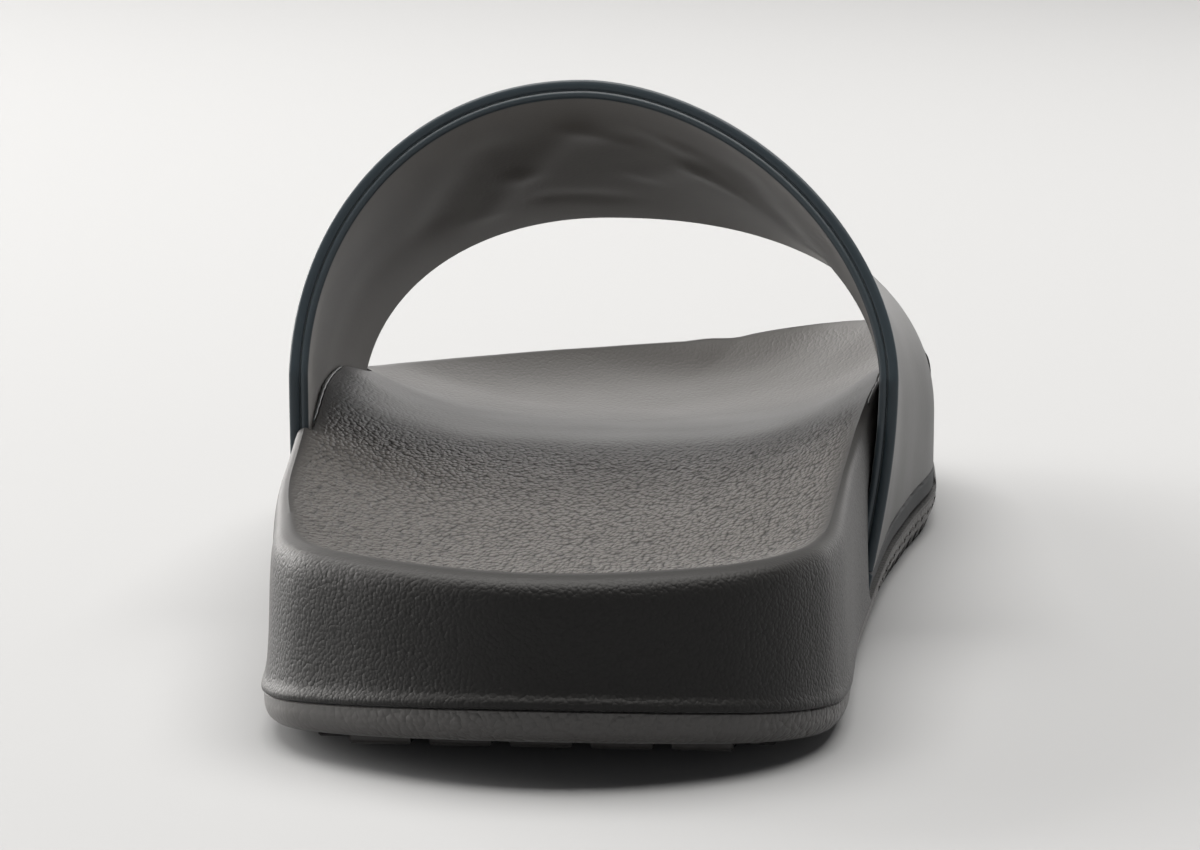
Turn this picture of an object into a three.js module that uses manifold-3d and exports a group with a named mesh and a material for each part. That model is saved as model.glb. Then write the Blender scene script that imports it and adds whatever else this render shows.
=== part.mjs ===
// Sport slide sandal, left shoe, in millimetres. X runs to the medial side, Y to the toe and Z up.
// The shoe stands on the plane z = 0, and its heel starts at y = 0 until it is centred at the end.
import * as THREE from "three";
import { mergeVertices } from "three/addons/utils/BufferGeometryUtils.js";
import Module from "manifold-3d";

const wasm = await Module();
wasm.setup();

// Overall sizes of the sole
const soleLength = 280;
const ballWidth = 108;
const heelRimHeight = 28.5;
const heelBevelHeight = 5.6;
const heelBevelRun = 42;
const toeSpringHeight = 9;
const toeSpringRun = 67;

// Outsole plate and its tread
const plateThickness = 4.2;
const plateSideInset = 0.6;
const plateTopInset = 0.3;
const plateCornerWidth = 2.4;
const lugHeight = 1.4;
const heelLugWidth = 8.5;
const heelLugDepth = 7;
const heelLugGap = 2.6;
const heelLugMargin = 6.5;
const heelLugRoot = 1.2;
const barDepth = 4.2;
const barGap = 2.6;
const barMargin = 1.8;
const barSideInset = 0.1;
const barTopMargin = 0.9;

// Midsole wall, rim and footbed
const rimInset = 7;
const rimRound = 1.4;
const ledgeHeight = 1.5;
const spineMargin = 38;

// Strap
const strapWall = 3;
const strapInset = 0.6;
const strapBackHeight = 86;
const strapFrontHeight = 57;
const strapBackFoot = 101;
const strapFrontFoot = 203;
const strapBackCrown = 118;
const strapFrontCrown = 207;
const strapBackShoulder = 41;
const strapFrontShoulder = 19;
const borderHeight = 2.6;
const borderRaise = 0.3;
const grooveWidth = 1.0;
const grooveFloorWidth = 0.4;
const grooveDepth = 0.7;

// Where the tread's groups start and end, as shares of the length
const heelLugsStart = 0.055;
const heelLugsEnd = 0.36;
const barsStart = 0.43;
const barsEnd = 0.965;

// Clearances
const fit = 0.3;
const pocketEndGap = 0.8;
const pocketEase = 1.15;

// Curves: the heel's bevel, the toe's spring and the footbed from its middle to the rim
const bevelPower = 1.8;
const springPower = 1.8;
const footbedPower = 3;

// Where the footbed's surface starts to follow the pocket, and to be lifted to its edge, on the way from the
// spine to the crest; then how much of the pocket's length that lift takes at its back and at its front
const pocketBlendStart = 0.6;
const pocketLiftStart = 0.7;
const pocketLiftBack = 0.4;
const pocketLiftFront = 0.2;

// The share of the strap's height, counted in turns from the foot to the crown, that stands straight up
const legShare = 0.36;

// Mesh fineness
const stationsPerSide = 40;
const footbedRings = 7;
const faceSteps = 3;
const strapRowsPerSide = 18;
const strapColumns = 12;
const outlineStep = 0.002;
const surfaceStep = 0.004;
const mergeDistance = 1e-4;
const pocketStep = 1.6;
const stationGap = 2.4;
const rimCrowding = 0.35;

// Outline of the sole at the midsole's lip: shares of the length, and of the ball width
const outline = [
  { along: 0.0, lateral: 0.0, medial: 0.0 },
  { along: 0.014, lateral: -0.157, medial: 0.157 },
  { along: 0.036, lateral: -0.259, medial: 0.252 },
  { along: 0.071, lateral: -0.358, medial: 0.326 },
  { along: 0.107, lateral: -0.395, medial: 0.36 },
  { along: 0.16, lateral: -0.413, medial: 0.372 },
  { along: 0.25, lateral: -0.443, medial: 0.373 },
  { along: 0.36, lateral: -0.464, medial: 0.386 },
  { along: 0.5, lateral: -0.498, medial: 0.408 },
  { along: 0.6, lateral: -0.517, medial: 0.436 },
  { along: 0.72, lateral: -0.527, medial: 0.473 },
  { along: 0.8, lateral: -0.503, medial: 0.468 },
  { along: 0.87, lateral: -0.424, medial: 0.43 },
  { along: 0.925, lateral: -0.312, medial: 0.364 },
  { along: 0.965, lateral: -0.189, medial: 0.288 },
  { along: 0.988, lateral: -0.07, medial: 0.2 },
  { along: 1.0, lateral: 0.075, medial: 0.075 },
];

// Heights of the rim on each side and of the footbed's middle: shares of the heel rim's height
const heights = [
  { along: 0.0, lateral: 1.0, medial: 1.0, middle: 0.82 },
  { along: 0.12, lateral: 1.0, medial: 1.0, middle: 0.82 },
  { along: 0.2, lateral: 1.01, medial: 1.04, middle: 0.82 },
  { along: 0.28, lateral: 1.05, medial: 1.11, middle: 0.84 },
  { along: 0.36, lateral: 1.15, medial: 1.2, middle: 0.86 },
  { along: 0.47, lateral: 1.18, medial: 1.24, middle: 0.87 },
  { along: 0.58, lateral: 1.14, medial: 1.2, middle: 0.79 },
  { along: 0.68, lateral: 1.0, medial: 1.12, middle: 0.69 },
  { along: 0.8, lateral: 0.86, medial: 1.07, middle: 0.63 },
  { along: 0.88, lateral: 0.8, medial: 1.085, middle: 0.63 },
  { along: 0.92, lateral: 0.78, medial: 1.032, middle: 0.64 },
  { along: 0.95, lateral: 0.77, medial: 0.98, middle: 0.65 },
  { along: 0.97, lateral: 0.765, medial: 0.94, middle: 0.66 },
  { along: 0.985, lateral: 0.77, medial: 0.895, middle: 0.67 },
  { along: 0.996, lateral: 0.778, medial: 0.842, middle: 0.675 },
  { along: 1.0, lateral: 0.8, medial: 0.8, middle: 0.68 },
];

// How far the rim's crest stands in from the lip on each side: shares of rimInset
const leans = [
  { along: 0.0, lateral: 1.0, medial: 1.0 },
  { along: 0.05, lateral: 0.94, medial: 0.82 },
  { along: 0.09, lateral: 0.82, medial: 0.68 },
  { along: 0.14, lateral: 0.62, medial: 0.54 },
  { along: 0.21, lateral: 0.45, medial: 0.43 },
  { along: 0.3, lateral: 0.38, medial: 0.36 },
  { along: 0.6, lateral: 0.4, medial: 0.38 },
  { along: 0.72, lateral: 0.46, medial: 0.5 },
  { along: 0.8, lateral: 0.56, medial: 0.74 },
  { along: 0.85, lateral: 0.61, medial: 0.8 },
  { along: 1.0, lateral: 0.8, medial: 0.8 },
];

// The midsole's wall from the seam to the crest. A row lies at a share of the ledge's height, or at the
// share up of what is above the ledge; free is its lean in from the lip as a share of the crest's. Where
// pocket is 1 the strap's pocket takes its place, with round as a share of rimRound
const wallRows = [
  { ledge: 0.35, up: 0.0, free: 0.0, pocket: 0, round: 0 },
  { ledge: 0.9, up: 0.0, free: 0.06, pocket: 1, round: 0 },
  { ledge: 1.0, up: 0.08, free: 0.14, pocket: 1, round: 0 },
  { ledge: 1.0, up: 0.3, free: 0.22, pocket: 1, round: 0 },
  { ledge: 1.0, up: 0.6, free: 0.27, pocket: 1, round: 0 },
  { ledge: 1.0, up: 0.84, free: 0.34, pocket: 1, round: 0 },
  { ledge: 1.0, up: 0.94, free: 0.48, pocket: 1, round: 0.1 },
  { ledge: 1.0, up: 0.985, free: 0.7, pocket: 1, round: 0.4 },
  { ledge: 1.0, up: 1.0, free: 1.0, pocket: 1, round: 1.0 },
];

// The outsole's side from its top to its bottom: shares of the plate's thickness and of the corner's width
const plateRows = [
  { down: 0.1, inset: 0.0 },
  { down: 0.35, inset: 0.04 },
  { down: 0.65, inset: 0.2 },
  { down: 0.88, inset: 0.55 },
  { down: 1.0, inset: 1.0 },
];

// How the strap stands in each of its sections, from its back edge to its front edge: crown is how far the
// top lies to the medial side as a share of the ball width, lateral and medial are how far the shoulders
// stand out past the foot as shares of the same, and the fullness is 2 for an ellipse and more for a squarer one
const strapSections = [
  { across: 0.0, crown: -0.046, lateral: 0.005, medial: 0.04, lateralFull: 2.08, medialFull: 1.8 },
  { across: 0.5, crown: -0.06, lateral: 0.004, medial: 0.012, lateralFull: 2.1, medialFull: 1.86 },
  { across: 1.0, crown: -0.07, lateral: 0.0, medial: 0.0, lateralFull: 2.12, medialFull: 2.25 },
];

// A smooth curve through one column of a table, flat or monotone wherever the rows are
function columnOf(rows, place, column, remap = (share) => share) {
  const xs = rows.map((row) => remap(row[place]));
  const ys = rows.map((row) => row[column]);
  const slopes = xs.slice(1).map((x, i) => (ys[i + 1] - ys[i]) / (x - xs[i]));
  const tangents = xs.map((x, i) => {
    if (i === 0) return slopes[0];
    if (i === xs.length - 1) return slopes[i - 1];
    const [before, after] = [slopes[i - 1], slopes[i]];
    return before * after <= 0 ? 0 : (2 * before * after) / (before + after);
  });
  return (share) => {
    const x = THREE.MathUtils.clamp(remap(share), xs[0], xs[xs.length - 1]);
    const i = Math.min(xs.findLastIndex((start) => start <= x), xs.length - 2);
    const span = xs[i + 1] - xs[i];
    const t = (x - xs[i]) / span;
    const rise = t * t * (3 - 2 * t);
    const leave = t * (1 - t) * (1 - t) * span * tangents[i];
    const arrive = t * t * (t - 1) * span * tangents[i + 1];
    return ys[i] + (ys[i + 1] - ys[i]) * rise + leave + arrive;
  };
}

// Turning the length into an angle keeps the heel and the toe round between the outline's rows
const angleOf = (share) => Math.acos(THREE.MathUtils.clamp(1 - 2 * share, -1, 1));
const shareOf = (angle) => (1 - Math.cos(angle)) / 2;

const sides = { lateral: -1, medial: 1 };
const edgeX = {
  lateral: columnOf(outline, "along", "lateral", angleOf),
  medial: columnOf(outline, "along", "medial", angleOf),
};
const rimShare = {
  lateral: columnOf(heights, "along", "lateral"),
  medial: columnOf(heights, "along", "medial"),
};
const middleShare = columnOf(heights, "along", "middle");
const leanShare = {
  lateral: columnOf(leans, "along", "lateral"),
  medial: columnOf(leans, "along", "medial"),
};

// A point of the outline, moved into the sole by inset along the outline's normal
function edgePoint(side, share, inset) {
  const angle = angleOf(share);
  const at = (a) => new THREE.Vector2(ballWidth * edgeX[side](shareOf(a)), soleLength * shareOf(a));
  const point = at(angle);
  const isEnd = angle < outlineStep || angle > Math.PI - outlineStep;
  const normal = new THREE.Vector2();
  if (isEnd) {
    normal.set(0, angle < outlineStep ? 1 : -1);
  } else {
    const run = at(angle + outlineStep).sub(at(angle - outlineStep));
    normal.set(-run.y * sides[side], run.x * sides[side]).normalize();
  }
  return point.addScaledVector(normal, inset);
}

// Heights along the shoe
function treadHeight(share) {
  const heel = Math.max(0, 1 - (share * soleLength) / heelBevelRun);
  const toe = Math.max(0, 1 - ((1 - share) * soleLength) / toeSpringRun);
  return heelBevelHeight * heel ** bevelPower + toeSpringHeight * toe ** springPower;
}
const seamHeight = (share) => treadHeight(share) + lugHeight + plateThickness;
const rimHeight = (side, share) => heelRimHeight * rimShare[side](share);

// A closed solid from rings of points; the first and the last ring are folded shut along a spine
function ringSolid(rings) {
  const count = rings[0].length;
  const positions = rings.flat().flatMap((p) => [p.x, p.y, p.z]);
  const index = [];
  for (let k = 0; k + 1 < rings.length; k += 1) {
    for (let i = 0; i < count; i += 1) {
      const j = (i + 1) % count;
      const [a, b, c, d] = [k * count + i, k * count + j, (k + 1) * count + j, (k + 1) * count + i];
      index.push(a, c, b, a, d, c);
    }
  }
  const geometry = new THREE.BufferGeometry();
  geometry.setAttribute("position", new THREE.Float32BufferAttribute(positions, 3));
  geometry.setIndex(index);
  return tidy(geometry);
}

// Merged vertices without the triangles that folding leaves empty
function tidy(geometry) {
  const merged = mergeVertices(geometry, mergeDistance);
  const kept = [];
  const source = merged.getIndex().array;
  for (let i = 0; i < source.length; i += 3) {
    const [a, b, c] = source.slice(i, i + 3);
    if (a !== b && b !== c && c !== a) kept.push(a, b, c);
  }
  merged.setIndex(kept);
  return merged;
}

// Stations from heel to toe, with a close pair at each end of the strap's pocket
const pocketBack = (strapBackFoot - pocketEndGap) / soleLength;
const pocketFront = (strapFrontFoot + pocketEndGap) / soleLength;
const stations = (() => {
  const step = pocketStep / soleLength;
  const edges = [pocketBack - step, pocketBack, pocketFront, pocketFront + step];
  const even = [];
  for (let i = 0; i <= stationsPerSide; i += 1) {
    even.push(shareOf((Math.PI * i) / stationsPerSide));
  }
  const clear = even.filter((share) => edges.every((edge) => Math.abs(share - edge) > stationGap / soleLength));
  return [...clear, ...edges].sort((a, b) => a - b);
})();
const isInPocket = (share) => share >= pocketBack && share <= pocketFront;

// One loop round the sole: the medial side from heel to toe, then the lateral side back
const loop = [
  ...stations.map((share) => ({ side: "medial", share })),
  ...stations.slice(1, -1).reverse().map((share) => ({ side: "lateral", share })),
];

// The spine that the rings fold shut on, on the sole's middle line
function spinePoint(share) {
  const from = spineMargin / soleLength;
  const spineShare = from + (1 - 2 * from) * share;
  const x = (ballWidth * (edgeX.lateral(spineShare) + edgeX.medial(spineShare))) / 2;
  return new THREE.Vector2(x, soleLength * spineShare);
}

// Rings of one level face from the spine out to an edge that lies inset from the lip
function faceRings(inset, heightAt) {
  const rings = [];
  for (let k = 0; k <= faceSteps; k += 1) {
    rings.push(loop.map(({ side, share }) => {
      const spine = spinePoint(share);
      const point = spine.lerp(edgePoint(side, share, inset), k / faceSteps);
      return new THREE.Vector3(point.x, point.y, heightAt(point.y / soleLength));
    }));
  }
  return rings;
}

const seamInset = plateSideInset + plateTopInset;

function buildPlate() {
  const rings = faceRings(seamInset, (share) => seamHeight(share) - fit / 2);
  const depth = plateThickness - fit / 2;
  for (const row of plateRows) {
    rings.push(loop.map(({ side, share }) => {
      const point = edgePoint(side, share, plateSideInset + row.inset * plateCornerWidth);
      const height = seamHeight(point.y / soleLength) - fit / 2 - row.down * depth;
      return new THREE.Vector3(point.x, point.y, height);
    }));
  }
  const underside = faceRings(plateSideInset + plateCornerWidth, (share) => seamHeight(share) - plateThickness);
  rings.push(...underside.reverse().slice(1));
  return ringSolid(rings);
}

// A block of tread from its top down to the tread's lowest face; each end follows the place given for it
function treadBlock(from, to, top, reach) {
  const corners = [];
  for (const share of [from, to]) {
    for (const level of [0, 1]) {
      const height = treadHeight(share) + (level === 0 ? top : 0);
      for (const side of ["lateral", "medial"]) {
        corners.push(new THREE.Vector3(reach(side, share, level), soleLength * share, height));
      }
    }
  }
  const quads = [[0, 1, 3, 2], [4, 6, 7, 5], [0, 4, 5, 1], [2, 3, 7, 6], [0, 2, 6, 4], [1, 5, 7, 3]];
  const geometry = new THREE.BufferGeometry();
  const positions = corners.flatMap((p) => [p.x, p.y, p.z]);
  geometry.setAttribute("position", new THREE.Float32BufferAttribute(positions, 3));
  geometry.setIndex(quads.flatMap(([a, b, c, d]) => [a, c, b, a, d, c]));
  return geometry;
}

// Cross bars under the forefoot run out to the side of the sole and stand up on it as short ribs
function forefootBars() {
  const bars = [];
  const pitch = (barDepth + barGap) / soleLength;
  for (let from = barsStart; from + barDepth / soleLength < barsEnd; from += pitch) {
    const to = from + barDepth / soleLength;
    const reach = (side, share, level) => {
      const margin = level === 0 ? barSideInset : barMargin;
      return edgePoint(side, share, margin).x;
    };
    bars.push(treadBlock(from, to, lugHeight + plateThickness - fit / 2 - barTopMargin, reach));
  }
  return bars;
}

// Block lugs under the heel lie in rows across it
function heelLugs() {
  const lugs = [];
  const pitch = (heelLugDepth + heelLugGap) / soleLength;
  for (let from = heelLugsStart; from + heelLugDepth / soleLength < heelLugsEnd; from += pitch) {
    const to = from + heelLugDepth / soleLength;
    const left = Math.max(edgePoint("lateral", from, heelLugMargin).x, edgePoint("lateral", to, heelLugMargin).x);
    const right = Math.min(edgePoint("medial", from, heelLugMargin).x, edgePoint("medial", to, heelLugMargin).x);
    const count = Math.floor((right - left + heelLugGap) / (heelLugWidth + heelLugGap));
    const start = (left + right - count * (heelLugWidth + heelLugGap) + heelLugGap) / 2;
    for (let i = 0; i < count; i += 1) {
      const x = start + i * (heelLugWidth + heelLugGap);
      const reach = (side) => (side === "lateral" ? x : x + heelLugWidth);
      lugs.push(treadBlock(from, to, lugHeight + heelLugRoot, reach));
    }
  }
  return lugs;
}

function solidOf(geometry) {
  const plain = geometry.index ? geometry : mergeVertices(geometry, mergeDistance);
  return new wasm.Manifold(new wasm.Mesh({
    numProp: 3,
    vertProperties: Float32Array.from(plain.getAttribute("position").array),
    triVerts: Uint32Array.from(plain.getIndex().array),
  }));
}

function geometryOf(solid) {
  const mesh = solid.getMesh();
  const geometry = new THREE.BufferGeometry();
  geometry.setAttribute("position", new THREE.BufferAttribute(Float32Array.from(mesh.vertProperties), 3));
  geometry.setIndex([...mesh.triVerts]);
  return tidy(geometry);
}

function buildTreadedOutsole() {
  const blocks = [...heelLugs(), ...forefootBars()];
  return geometryOf(blocks.reduce((whole, block) => whole.add(solidOf(block)), solidOf(buildPlate())));
}

const sectionOf = {};
for (const name of ["crown", "lateral", "medial", "lateralFull", "medialFull"]) {
  sectionOf[name] = columnOf(strapSections, "across", name);
}

const footShareAt = (v) => THREE.MathUtils.lerp(strapBackFoot, strapFrontFoot, v) / soleLength;
const shoulderHeight = (v) => THREE.MathUtils.lerp(strapBackShoulder, strapFrontShoulder, v);
const legHeight = (v) => shoulderHeight(v) - seamHeight(footShareAt(v)) - ledgeHeight - fit;

// A point of the strap's outer face: q runs from 0 at the foot to 1 at the crown, v from the back edge
// to the front edge
function strapPoint(side, q, v) {
  const { lerp } = THREE.MathUtils;
  const shoulder = shoulderHeight(v);
  const crownHeight = lerp(strapBackHeight, strapFrontHeight, v);
  const footShare = footShareAt(v);
  const foot = edgePoint(side, footShare, strapInset);
  const footHeight = seamHeight(footShare) + ledgeHeight + fit;
  const bulge = ballWidth * sectionOf[side](v) * sides[side];
  if (q <= legShare) {
    const up = q / legShare;
    const height = lerp(footHeight, shoulder, up);
    return new THREE.Vector3(foot.x + bulge * Math.sin((up * Math.PI) / 2), foot.y, height);
  }
  const angle = ((q - legShare) / (1 - legShare)) * (Math.PI / 2);
  const power = 2 / sectionOf[side === "lateral" ? "lateralFull" : "medialFull"](v);
  const rise = Math.sin(angle) ** power;
  const reach = Math.cos(angle) ** power;
  const crownX = ballWidth * sectionOf.crown(v);
  const shoulderX = foot.x + bulge;
  const crownY = lerp(strapBackCrown, strapFrontCrown, v);
  return new THREE.Vector3(
    crownX + (shoulderX - crownX) * reach,
    lerp(foot.y, crownY, rise),
    lerp(shoulder, crownHeight, rise),
  );
}

// How far the strap's face has come in over the sole at one height, seen from its foot; below zero it has
// gone out past the foot
function strapLean(side, share, height) {
  const { clamp, lerp } = THREE.MathUtils;
  const v = clamp((share * soleLength - strapBackFoot) / (strapFrontFoot - strapBackFoot), 0, 1);
  const shoulder = shoulderHeight(v);
  const bulge = ballWidth * sectionOf[side](v);
  if (height <= shoulder) {
    const up = clamp(1 - (shoulder - height) / legHeight(v), 0, 1);
    return -bulge * Math.sin((up * Math.PI) / 2);
  }
  const rise = (height - shoulder) / (lerp(strapBackHeight, strapFrontHeight, v) - shoulder);
  const fullness = sectionOf[`${side}Full`](v);
  const reach = (1 - rise ** fullness) ** (1 / fullness);
  const width = Math.abs(ballWidth * (edgeX[side](share) - sectionOf.crown(v)));
  return width * (1 - reach) - bulge;
}

const pocketDepth = strapInset + strapWall + fit;

const crestRow = wallRows[wallRows.length - 1];
const freeInset = (row, side, share) => row.free * leanShare[side](share) * rimInset;

// How far the midsole's wall stands in from the lip at one row of its table, where its crest is at top
function wallInset(row, side, share, top) {
  const free = freeInset(row, side, share);
  if (row.pocket === 0 || !isInPocket(share)) return free;
  const ledge = seamHeight(share) + row.ledge * ledgeHeight;
  const lean = strapLean(side, share, THREE.MathUtils.lerp(ledge, top, row.up));
  return Math.max(free, pocketDepth + Math.max(lean, lean * pocketEase) + row.round * rimRound);
}

const smooth = THREE.MathUtils.smoothstep;

// How the footbed meets its edge at one station. It rises from the spine to the plain crest, the pocket only
// cuts it short, and there it is lifted back to the rim's height along the pocket's middle
function footbedEdge(side, share) {
  const spine = spinePoint(share);
  const rim = rimHeight(side, share);
  const plain = edgePoint(side, share, freeInset(crestRow, side, share));
  const crest = edgePoint(side, share, wallInset(crestRow, side, share, rim));
  const spineHeight = heelRimHeight * middleShare(spine.y / soleLength);
  const reach = plain.distanceTo(spine);
  const plainHeight = (point) => {
    const spread = point.distanceTo(spine) / reach;
    return THREE.MathUtils.lerp(spineHeight, rim, spread ** footbedPower);
  };
  const along = (share - pocketBack) / (pocketFront - pocketBack);
  const lift = smooth(along, 0, pocketLiftBack) * smooth(1 - along, 0, pocketLiftFront);
  const rise = (rim - plainHeight(crest)) * lift;
  return { spine, plain, crest, plainHeight, rise, top: plainHeight(crest) + rise };
}

function buildMidsole() {
  const footOf = (share) => seamHeight(share) + fit / 2;
  const rings = [];
  for (let k = 0; k < footbedRings; k += 1) {
    const out = k / footbedRings;
    const spread = THREE.MathUtils.lerp(out, Math.sqrt(out), rimCrowding);
    rings.push(loop.map(({ side, share }) => {
      const { spine, plain, crest, plainHeight, rise } = footbedEdge(side, share);
      const edge = plain.lerp(crest, smooth(spread, pocketBlendStart, 1));
      const point = spine.clone().lerp(edge, spread);
      const height = plainHeight(point) + rise * smooth(spread, pocketLiftStart, 1);
      return new THREE.Vector3(point.x, point.y, height);
    }));
  }
  for (const row of [...wallRows].reverse()) {
    rings.push(loop.map(({ side, share }) => {
      const { top } = footbedEdge(side, share);
      const point = edgePoint(side, share, wallInset(row, side, share, top));
      const ledge = footOf(point.y / soleLength) + row.ledge * ledgeHeight;
      return new THREE.Vector3(point.x, point.y, THREE.MathUtils.lerp(ledge, top, row.up));
    }));
  }
  rings.push(...faceRings(seamInset, footOf).reverse());
  return ringSolid(rings);
}

function strapNormal(side, q, v) {
  const [q0, q1] = [Math.max(q - surfaceStep, 0), Math.min(q + surfaceStep, 1)];
  const [v0, v1] = [Math.max(v - surfaceStep, 0), Math.min(v + surfaceStep, 1)];
  const along = strapPoint(side, q, v1).sub(strapPoint(side, q, v0));
  const up = strapPoint(side, q1, v).sub(strapPoint(side, q0, v));
  return up.cross(along).multiplyScalar(-sides[side]).normalize();
}

// The strap's outer face stands out along its lower border and dips in the groove above it
const grooveSide = (grooveWidth - grooveFloorWidth) / 2;
const borderRows = [
  { rise: 0, relief: borderRaise },
  { rise: borderHeight, relief: borderRaise },
  { rise: borderHeight + grooveSide, relief: -grooveDepth },
  { rise: borderHeight + grooveSide + grooveFloorWidth, relief: -grooveDepth },
  { rise: borderHeight + grooveWidth, relief: 0 },
];

function buildStrap() {
  const halfRows = [...borderRows];
  for (let i = 1; i <= strapRowsPerSide; i += 1) {
    halfRows.push({ share: i / strapRowsPerSide, relief: 0 });
  }
  const rows = [
    ...halfRows.map((row) => ({ ...row, side: "lateral" })),
    ...halfRows.slice(0, -1).reverse().map((row) => ({ ...row, side: "medial" })),
  ];
  const border = borderHeight + grooveWidth;
  const turnOf = (row, v) => {
    const perRise = legShare / legHeight(v);
    return row.share === undefined
      ? row.rise * perRise
      : THREE.MathUtils.lerp(border * perRise, 1, row.share);
  };
  const rings = rows.map((row) => {
    const outer = [];
    const inner = [];
    for (let i = 0; i <= strapColumns; i += 1) {
      const v = i / strapColumns;
      const q = turnOf(row, v);
      const normal = strapNormal(row.side, q, v);
      const point = strapPoint(row.side, q, v);
      outer.push(point.clone().addScaledVector(normal, row.relief));
      inner.push(point.addScaledVector(normal, -strapWall));
    }
    return [...outer, ...inner.reverse()];
  });
  return tubeSolid(rings);
}

// A closed solid from equal rings, with flat ends made of quads between the ring's two halves
function tubeSolid(rings) {
  const count = rings[0].length;
  const positions = rings.flat().flatMap((p) => [p.x, p.y, p.z]);
  const index = [];
  for (let k = 0; k + 1 < rings.length; k += 1) {
    for (let i = 0; i < count; i += 1) {
      const j = (i + 1) % count;
      const [a, b, c, d] = [k * count + i, k * count + j, (k + 1) * count + j, (k + 1) * count + i];
      index.push(a, c, b, a, d, c);
    }
  }
  for (const [base, turned] of [[0, false], [(rings.length - 1) * count, true]]) {
    for (let i = 0; i + 1 < count / 2; i += 1) {
      const [a, b, c, d] = [base + i, base + i + 1, base + count - 2 - i, base + count - 1 - i];
      index.push(...(turned ? [a, c, b, a, d, c] : [a, b, c, a, c, d]));
    }
  }
  const geometry = new THREE.BufferGeometry();
  geometry.setAttribute("position", new THREE.Float32BufferAttribute(positions, 3));
  geometry.setIndex(index);
  return tidy(geometry);
}

function addPiece(name, geometry, material) {
  const mesh = new THREE.Mesh(geometry, material);
  mesh.name = name;
  group.add(mesh);
}

const group = new THREE.Group();
addPiece("outsole", buildTreadedOutsole(), new THREE.MeshStandardMaterial({ color: 0x2e2e30, roughness: 0.7 }));
addPiece("midsole", buildMidsole(), new THREE.MeshStandardMaterial({ color: 0x262523, roughness: 0.6 }));
addPiece("strap", buildStrap(), new THREE.MeshStandardMaterial({ color: 0x23292d, roughness: 0.45 }));

// The origin lies on the floor under the middle of the shoe
const middle = new THREE.Box3().setFromObject(group).getCenter(new THREE.Vector3());
group.position.set(-middle.x, -middle.y, 0);

export default group;
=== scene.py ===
import bmesh
import bpy
import numpy as np
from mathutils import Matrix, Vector


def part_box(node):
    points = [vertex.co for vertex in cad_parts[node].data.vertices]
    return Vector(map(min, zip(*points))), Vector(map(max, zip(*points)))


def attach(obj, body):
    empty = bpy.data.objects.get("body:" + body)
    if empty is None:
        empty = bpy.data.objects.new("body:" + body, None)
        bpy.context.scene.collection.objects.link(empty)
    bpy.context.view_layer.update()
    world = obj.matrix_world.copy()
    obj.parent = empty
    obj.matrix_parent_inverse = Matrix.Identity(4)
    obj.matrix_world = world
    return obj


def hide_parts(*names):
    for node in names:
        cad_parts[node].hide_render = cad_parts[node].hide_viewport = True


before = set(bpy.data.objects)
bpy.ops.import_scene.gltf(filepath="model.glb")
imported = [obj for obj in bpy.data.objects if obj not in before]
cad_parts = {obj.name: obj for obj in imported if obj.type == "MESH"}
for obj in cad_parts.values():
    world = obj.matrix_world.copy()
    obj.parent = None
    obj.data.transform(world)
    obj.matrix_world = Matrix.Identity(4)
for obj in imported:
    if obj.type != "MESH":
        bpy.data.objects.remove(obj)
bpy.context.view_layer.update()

# The midsole is one moulding of black foam: footbed, heel cup, arch and side wall in one skin with a leather
# grain. It comes out of its mould with a rolled rim and a shallow pocket in each side for the strap.
# Its plan starts at the back of the heel, in millimetres, with the medial side at positive x.
MM = 0.001
LENGTH = 280.0
BALL_WIDTH = 108.0
HEEL_RIM = 28.5
HEEL_BEVEL = 5.6
TOE_SPRING = 9.0
HEEL_BEVEL_RUN, TOE_SPRING_RUN, SPRING_CURVE = 42.0, 67.0, 1.8
LUG_HEIGHT = 1.4
PLATE = 4.2
LEDGE = 1.5
FIT = 0.3
STRAP_WALL = 3.0
STRAP_INSET = 0.6
# At the strap's back and at its front edge: where its feet stand, how high its crown and its shoulders lie
STRAP_FEET = (101.0, 203.0)
STRAP_HEIGHT = (86.0, 57.0)
SHOULDER_HEIGHT = (41.0, 19.0)
POCKET_DEPTH = STRAP_INSET + STRAP_WALL + FIT

# Shares of the length, then of the ball width on the lateral and on the medial side
OUTLINE = [
    (0.0, 0.0, 0.0), (0.014, -0.157, 0.157), (0.036, -0.259, 0.252), (0.071, -0.358, 0.326),
    (0.107, -0.395, 0.36), (0.16, -0.413, 0.372), (0.25, -0.443, 0.373), (0.36, -0.464, 0.386),
    (0.5, -0.498, 0.408), (0.6, -0.517, 0.436), (0.72, -0.527, 0.473), (0.8, -0.503, 0.468),
    (0.87, -0.424, 0.43), (0.925, -0.312, 0.364), (0.965, -0.189, 0.288), (0.988, -0.07, 0.2),
    (1.0, 0.075, 0.075),
]
# Shares of the length, then of the heel rim's height: lateral rim, medial rim, middle of the footbed
HEIGHTS = [
    (0.0, 1.0, 1.0, 0.82), (0.12, 1.0, 1.0, 0.82), (0.2, 1.01, 1.04, 0.82), (0.28, 1.05, 1.11, 0.84),
    (0.36, 1.15, 1.2, 0.86), (0.47, 1.18, 1.24, 0.87), (0.58, 1.14, 1.2, 0.79), (0.68, 1.0, 1.12, 0.69),
    (0.8, 0.86, 1.07, 0.63), (0.88, 0.8, 1.085, 0.63), (0.92, 0.78, 1.032, 0.64), (0.95, 0.77, 0.98, 0.65),
    (0.97, 0.765, 0.94, 0.66), (0.985, 0.77, 0.895, 0.67), (0.996, 0.778, 0.842, 0.675),
    (1.0, 0.8, 0.8, 0.68),
]
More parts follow.
